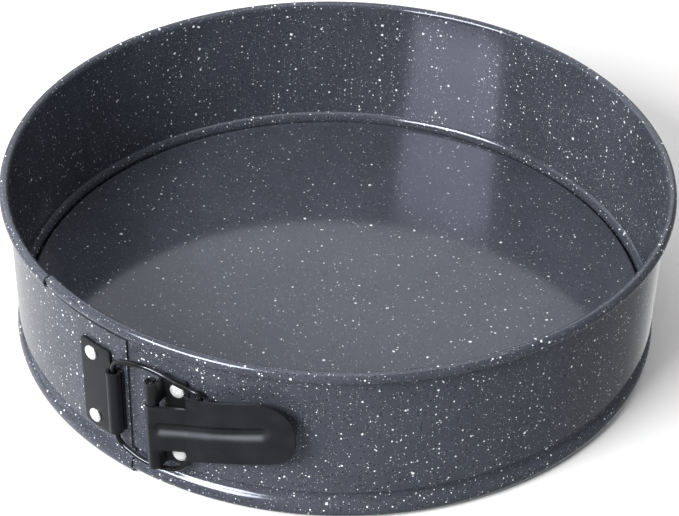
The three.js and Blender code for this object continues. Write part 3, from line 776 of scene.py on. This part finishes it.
class PAN_OT_lever(bpy.types.Operator):
    """Build the stamped lever with its rolled eye and ears"""
    bl_idname = "pan.lever"
    bl_label = "Lever"

    def execute(self, context):
        sizes = context.scene.pan_latch
        thick = sizes.lever_sheet
        eye = sizes.pin_radius + GAP + thick / 2
        radius = lever_radius()
        pivot = PIVOT.xy
        roll = []
        for i in range(29):
            t = math.radians(20 + 250 * i / 28)
            roll.append(pivot + Vector((math.cos(t), math.sin(t))) * eye)
        arm = []
        for i in range(41):
            share = i / 40
            angle = SHOULDER + (TIP - SHOULDER) * share
            arm.append(polar(angle, radius + TIP_LIFT * share ** 2).xy)
        first, last = roll[-1], arm[0]
        heading = (arm[1] - arm[0]).normalized()
        neck = []
        span = (last - first).length
        for i in range(1, 12):
            t = i / 12
            a = first + Vector((1, 0)) * span * 0.35 * t
            b = last - heading * span * 0.35 * (1 - t)
            neck.append(a.lerp(b, smooth(t, 0, 1)))
        line = roll + neck + arm
        distances = along_line(line)
        total = distances[-1]
        shoulder = distances[len(roll) + len(neck)]
        neck_half, full = sizes.neck_height / 2, sizes.lever_height / 2
        groove_start = distances[len(roll)] + GROOVE_START
        groove_end = total - GROOVE_END

        def climb(s):
            return lever_rise(point_at(line, distances, s)[0].x) if s > distances[len(roll)] else 0.0

        def edges(s):
            rise = climb(s)
            low, high = rounded(s, -full, full, full / 2, full * 1.2, total)
            return low + rise, high + rise

        def beside_neck(s, z):
            return s < shoulder and abs(z - climb(s)) > neck_half

        def relief(s, z):
            reach = max(groove_start - s, s - groove_end, 0.0)
            off = math.hypot(z - climb(s), reach) / (sizes.groove_width / 2)
            return sizes.groove_depth * (1 - smooth(off, 0.12, 1.0))

        stations = spaced(0, distances[len(roll) - 1], 40)[:-1]
        stations += spaced(distances[len(roll) - 1], shoulder, 30)[:-1]
        round_start = total - full * 1.2
        stations += spaced(shoulder, round_start, 44)[:-1] + ending(round_start, total, 36)
        margin = (1 - neck_half / full) / 2
        rows = spaced(0, margin, 8)[:-1] + spaced(margin, 1 - margin, 45)[:-1] + spaced(1 - margin, 1, 8)
        plate = bent_sheet("lever_sheet", line, stations, rows, edges, thick, relief, beside_neck)
        finish_piece(plate, latch_enamel(), ["lever"], "lever_arm")
        self.ears(sizes, radius)
        return {"FINISHED"}

    def ears(self, sizes, radius):
        """Two ears bent in towards the wall, each slotted for a hook of the bail."""
        hook = polar(HOOK, wall_radius() + HOOK_STANDOFF)
        left, right = hook.x - EAR_LEFT, hook.x + EAR_RIGHT
        inner, turn = hook.y + EAR_TURN, hook.y - EAR_TURN
        outer = polar(HOOK, radius).y
        points = [
            (left - EAR_RIB, outer), (right + EAR_RIB, outer), (right + EAR_RIB, inner), (right, inner),
            (right, turn), (left, turn), (left, inner), (left - EAR_RIB, inner),
        ]
        for name, level in (("lever_ear_upper", 1), ("lever_ear_lower", -1)):
            middle = LATCH_Z + level * (sizes.lever_height - EAR_SHEET) / 2 + lever_rise(hook.x)
            maker = bmesh.new()
            verts = [maker.verts.new((x, y, middle - EAR_SHEET / 2)) for x, y in points]
            face = maker.faces.new(verts)
            made = bmesh.ops.extrude_face_region(maker, geom=[face])["geom"]
            lifted = [item for item in made if isinstance(item, bmesh.types.BMVert)]
            bmesh.ops.translate(maker, verts=lifted, vec=(0, 0, EAR_SHEET))
            bmesh.ops.recalc_face_normals(maker, faces=maker.faces)
            bmesh.ops.bevel(maker, geom=maker.edges[:], offset=0.2 * MM, segments=2, profile=0.5,
                            affect="EDGES", material=-1, clamp_overlap=True)
            ear = new_object(name, maker)
            ear.data.materials.append(latch_enamel())
            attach(ear, "lever_arm")


class PAN_OT_bail(bpy.types.Operator):
    """Bend the wire bail between the catch and the lever's ears"""
    bl_idname = "pan.bail"
    bl_label = "Bail"

    def execute(self, context):
        sizes = context.scene.pan_latch
        wall = wall_radius()
        hook_radius = wall + HOOK_STANDOFF
        catch_angle, catch_radius = angle_of(CATCH), radius_of(CATCH)
        end = sizes.lever_height / 2 + sizes.wire_radius + WIRE_CLEARANCE
        barrel = sizes.barrel_height / 2
        arm_start, arm_end = BAIL_ARM
        arm_radius = hook_radius + BAIL_LIFT
        hook_rise = lever_rise(polar(HOOK, hook_radius).x)

        def turned_by(length):
            return math.degrees(length / wall)

        hook = [
            (HOOK, hook_radius, end - HOOK_LENGTH),
            (HOOK, hook_radius, end - BAIL_BEND),
            (HOOK - turned_by(BAIL_BEND / 2), hook_radius, end),
            (HOOK - turned_by(HOOK_LENGTH), hook_radius, end + BAIL_BEND / 2),
        ]
        arm = []
        for i in range(4):
            angle = arm_start + (arm_end - arm_start) * i / 3
            radius = arm_radius + (catch_radius - arm_radius) * math.sin(i * math.pi / 6)
            arm.append((angle, radius, BAIL_SPREAD - BAIL_FALL * (angle - BAIL_CREST) ** 2))
        leg = [
            (catch_angle + turned_by(BAIL_BEND), catch_radius, barrel + BAIL_BEND * 3),
            (catch_angle, catch_radius, barrel + BAIL_BEND),
            (catch_angle, catch_radius, barrel - BAIL_BEND),
        ]
        route = []
        for side in (1, -1):
            half = [polar(angle, radius, LATCH_Z + side * z + hook_rise) for angle, radius, z in hook]
            half += [polar(angle, radius, LATCH_Z + side * z) for angle, radius, z in arm + leg]
            route += half if side == 1 else half[::-1]
        curve = bpy.data.curves.new("bail_route", "CURVE")
        curve.dimensions = "3D"
        curve.bevel_depth = sizes.wire_radius
        curve.bevel_resolution = 6
        curve.use_fill_caps = True
        curve.resolution_u = 12
        spline = curve.splines.new("BEZIER")
        spline.bezier_points.add(len(route) - 1)
        for knot, point in zip(spline.bezier_points, route):
            knot.co = point
            knot.handle_left_type = knot.handle_right_type = "AUTO"
        shape = bpy.data.objects.new("bail_shape", curve)
        context.scene.collection.objects.link(shape)
        context.view_layer.update()
        mesh = bpy.data.meshes.new_from_object(shape.evaluated_get(context.evaluated_depsgraph_get()))
        bpy.data.objects.remove(shape)
        maker = bmesh.new()
        maker.from_mesh(mesh)
        bmesh.ops.remove_doubles(maker, verts=maker.verts, dist=1e-6)
        bmesh.ops.recalc_face_normals(maker, faces=maker.faces)
        wire = new_object("bail", maker, 45)
        finish_piece(wire, wire_enamel(), ["bail_wire"], "bail")
        return {"FINISHED"}


def plain_end(wall):
    """Profile of a rivet's end that stops flush inside the band's outer layer."""
    return [Vector((0, wall + GAP)), Vector((SHANK_RADIUS * 0.9, wall + GAP))]


def flat_tail(inside, radius):
    """Profile of a rivet's tail that is pressed flat on the band's inner face."""
    bottom, top, corner = inside - TAIL_HEIGHT, inside - TAIL_GAP, radius * 0.1
    return [
        Vector((0, bottom)),
        *arc(radius - corner, bottom + corner, corner, corner, -90, 0, 4),
        Vector((radius, top)), Vector((SHANK_RADIUS, top)),
    ]


def rivet_profile(inner_end, face, head, rise):
    """Profile of a rivet from its inner end to the top of its domed head."""
    return [
        *inner_end,
        Vector((SHANK_RADIUS, face)), Vector((head * 0.97, face)),
        *arc(head * 0.9, face + HEAD_EDGE, head * 0.1, HEAD_EDGE, -60, 0, 4),
        *arc(0, face + HEAD_EDGE, head, rise - HEAD_EDGE - HEAD_GAP, 6, 84, 12),
        Vector((0, face + rise - HEAD_GAP)),
    ]


class PAN_OT_rivets(bpy.types.Operator):
    """Turn the four rivets and the hinge pin"""
    bl_idname = "pan.rivets"
    bl_label = "Rivets and pin"

    def execute(self, context):
        sizes = context.scene.pan_latch
        band = context.scene.pan_band
        wall, head = wall_radius(), sizes.rivet_radius
        pairs = (
            ("catch_rivet", CATCH_RIVETS, wall + band.layer_pitch, plain_end(wall), "catch_band"),
            ("bracket_rivet", BRACKET_RIVETS, wall, flat_tail(band.inside_radius, head), "lever_band"),
        )
        for group, angle, seat, inner_end, body in pairs:
            face = seat + GAP + sizes.fitting_sheet + HEAD_GAP
            profile = rivet_profile(inner_end, face, head, sizes.rivet_height)
            outward = polar(angle, 1) - Vector((AXIS.x, AXIS.y, 0))
            for end, level in (("upper", 1), ("lower", -1)):
                node = f"{group}_{end}"
                z = LATCH_Z + level * sizes.rivet_spacing / 2
                maker = bmesh.new()
                turned(maker, profile, Vector((AXIS.x, AXIS.y, z)), outward, 40)
                rivet = new_object(f"{node}_head", maker, 40)
                finish_piece(rivet, rivet_metal(), [node], body)
        self.pin(sizes)
        return {"FINISHED"}

    def pin(self, sizes):
        half = sizes.fitting_height / 2
        edge = 0.3 * MM
        radius = sizes.pin_radius
        profile = [
            Vector((0, -half)), Vector((radius - edge, -half)),
            *arc(radius - edge, edge - half, edge, edge, -90, 0, 4)[1:],
            *arc(radius - edge, half - edge, edge, edge, 0, 90, 4),
            Vector((0, half)),
        ]
        maker = bmesh.new()
        turned(maker, profile, PIVOT, Vector((0, 0, 1)), 32)
        pin = new_object("hinge_pin_turned", maker, 40)
        finish_piece(pin, wire_enamel(), ["hinge_pin"], "lever_band")


# Stage

CAMERA_ELEVATION = 37.45
CAMERA_AZIMUTH = 24.9
CAMERA_DISTANCE = 0.806
CAMERA_ROLL = 1.42
LENS = 101.45
SHIFT = (0.005, 0.0652)
WORLD_LIGHT = 0.27
SWEEP_LIGHT = 1.0
SWEEP_TOWARDS = (-0.87, 0.5, 0)


def soft_light(name, azimuth, elevation, distance, width, height, power):
    """A rectangular soft light that faces the pan."""
    data = bpy.data.lights.new(name, "AREA")
    data.shape = "RECTANGLE"
    data.size = width
    data.size_y = height
    data.energy = power
    lamp = bpy.data.objects.new(name, data)
    turn, rise = math.radians(azimuth), math.radians(elevation)
    back = Vector((math.sin(turn) * math.cos(rise), -math.cos(turn) * math.cos(rise), math.sin(rise)))
    lamp.location = Vector((AXIS.x, AXIS.y, 0.03)) + back * distance
    lamp.rotation_mode = "QUATERNION"
    lamp.rotation_quaternion = (-back).to_track_quat("-Z", "Y")
    bpy.context.scene.collection.objects.link(lamp)
    return lamp


def studio_world():
    """Even grey light, with a white sweep low on the left that only the gloss picks up."""
    world = bpy.data.worlds.new("studio")
    world.use_nodes = True
    tree = world.node_tree
    background = tree.nodes["Background"]
    background.inputs[0].default_value = (1, 1, 1, 1)
    towards = tree.nodes.new("ShaderNodeTexCoord").outputs["Generated"]
    shares = []
    for direction, low, high in ((SWEEP_TOWARDS, 0.05, 0.6), ((0, 0, -1), 0.0, 0.15)):
        along = tree.nodes.new("ShaderNodeVectorMath")
        along.operation = "DOT_PRODUCT"
        along.inputs[1].default_value = direction
        tree.links.new(towards, along.inputs[0])
        ramp = tree.nodes.new("ShaderNodeMapRange")
        ramp.interpolation_type = "SMOOTHSTEP"
        ramp.inputs["From Min"].default_value = low
        ramp.inputs["From Max"].default_value = high
        tree.links.new(along.outputs["Value"], ramp.inputs["Value"])
        shares.append(ramp.outputs["Result"])
    both = tree.nodes.new("ShaderNodeMath")
    both.operation = "MULTIPLY"
    strength = tree.nodes.new("ShaderNodeMath")
    strength.operation = "MULTIPLY_ADD"
    strength.inputs[1].default_value = SWEEP_LIGHT - WORLD_LIGHT
    strength.inputs[2].default_value = WORLD_LIGHT
    tree.links.new(shares[0], both.inputs[0])
    tree.links.new(shares[1], both.inputs[1])
    tree.links.new(both.outputs[0], strength.inputs[0])
    tree.links.new(strength.outputs[0], background.inputs[1])
    return world


class PAN_OT_stage(bpy.types.Operator):
    """Set the pale floor, the soft lights and the camera"""
    bl_idname = "pan.stage"
    bl_label = "Stage"

    def execute(self, context):
        scene = context.scene
        maker = bmesh.new()
        bmesh.ops.create_grid(maker, x_segments=1, y_segments=1, size=4)
        bmesh.ops.translate(maker, verts=maker.verts, vec=(0, 0, BAND_LOW.z - 0.1 * MM))
        floor = new_object("floor", maker)
        nodes = Nodes("pale_floor")
        shade = nodes.noise(3.0, 2.0)
        pale = (*scene.pan_colours.floor, 1)
        nodes.link("Base Color", nodes.mix(shade, pale, (*[c * 0.985 for c in pale[:3]], 1)))
        nodes.shader.inputs["Roughness"].default_value = 0.9
        floor.data.materials.append(nodes.material)
        floor.visible_glossy = False

        scene.world = studio_world()
        soft_light("key_box", azimuth=-20, elevation=34, distance=1.3, width=0.74, height=0.46, power=36)
        soft_light("back_panel", azimuth=205, elevation=42, distance=1.6, width=1.9, height=1.2, power=7.8)
        soft_light("left_panel", azimuth=-92, elevation=25, distance=1.2, width=1.1, height=0.8, power=4)
        soft_light("top_panel", azimuth=60, elevation=80, distance=1.3, width=1.2, height=1.2, power=8)

        data = bpy.data.cameras.new("camera")
        data.lens = LENS
        data.sensor_width = 36
        data.shift_x, data.shift_y = SHIFT
        data.clip_start, data.clip_end = 0.05, 20
        camera = bpy.data.objects.new("camera", data)
        turn, rise = math.radians(CAMERA_AZIMUTH), math.radians(CAMERA_ELEVATION)
        back = Vector((math.sin(turn) * math.cos(rise), -math.cos(turn) * math.cos(rise),
                       math.sin(rise)))
        camera.location = Vector((AXIS.x, AXIS.y, 0)) + back * CAMERA_DISTANCE
        aim = (-back).to_track_quat("-Z", "Y").to_matrix()
        camera.rotation_mode = "QUATERNION"
        roll = Matrix.Rotation(math.radians(CAMERA_ROLL), 3, "Z")
        camera.rotation_quaternion = (aim @ roll).to_quaternion()
        scene.collection.objects.link(camera)
        scene.camera = camera
        scene.view_settings.view_transform = "Standard"
        return {"FINISHED"}


class PAN_PT_panel(bpy.types.Panel):
    """The pan's sizes, colours and build steps"""
    bl_label = "Springform pan"
    bl_idname = "PAN_PT_panel"
    bl_space_type = "VIEW_3D"
    bl_region_type = "UI"
    bl_category = "Springform pan"

    def draw(self, context):
        for operator in OPERATORS:
            self.layout.operator(operator.bl_idname)
        for group in (context.scene.pan_band, context.scene.pan_latch, context.scene.pan_colours):
            box = self.layout.box()
            for name in group.bl_rna.properties.keys():
                if name not in {"rna_type", "name"}:
                    box.prop(group, name)


OPERATORS = (
    PAN_OT_stage,
    PAN_OT_band,
    PAN_OT_base_plate,
    PAN_OT_catch_plate,
    PAN_OT_bracket,
    PAN_OT_lever,
    PAN_OT_bail,
    PAN_OT_rivets,
)
CLASSES = (PanBandSizes, PanLatchSizes, PanColours, *OPERATORS, PAN_PT_panel)


def register():
    for item in CLASSES:
        bpy.utils.register_class(item)
    bpy.types.Scene.pan_band = PointerProperty(type=PanBandSizes)
    bpy.types.Scene.pan_latch = PointerProperty(type=PanLatchSizes)
    bpy.types.Scene.pan_colours = PointerProperty(type=PanColours)


def unregister():
    del bpy.types.Scene.pan_band
    del bpy.types.Scene.pan_latch
    del bpy.types.Scene.pan_colours
    for item in reversed(CLASSES):
        bpy.utils.unregister_class(item)


def main():
    register()
    bpy.ops.pan.stage()
    bpy.ops.pan.band()
    bpy.ops.pan.base_plate()
    bpy.ops.pan.catch_plate()
    bpy.ops.pan.bracket()
    bpy.ops.pan.lever()
    bpy.ops.pan.bail()
    bpy.ops.pan.rivets()


if __name__ == "__main__":
    main()
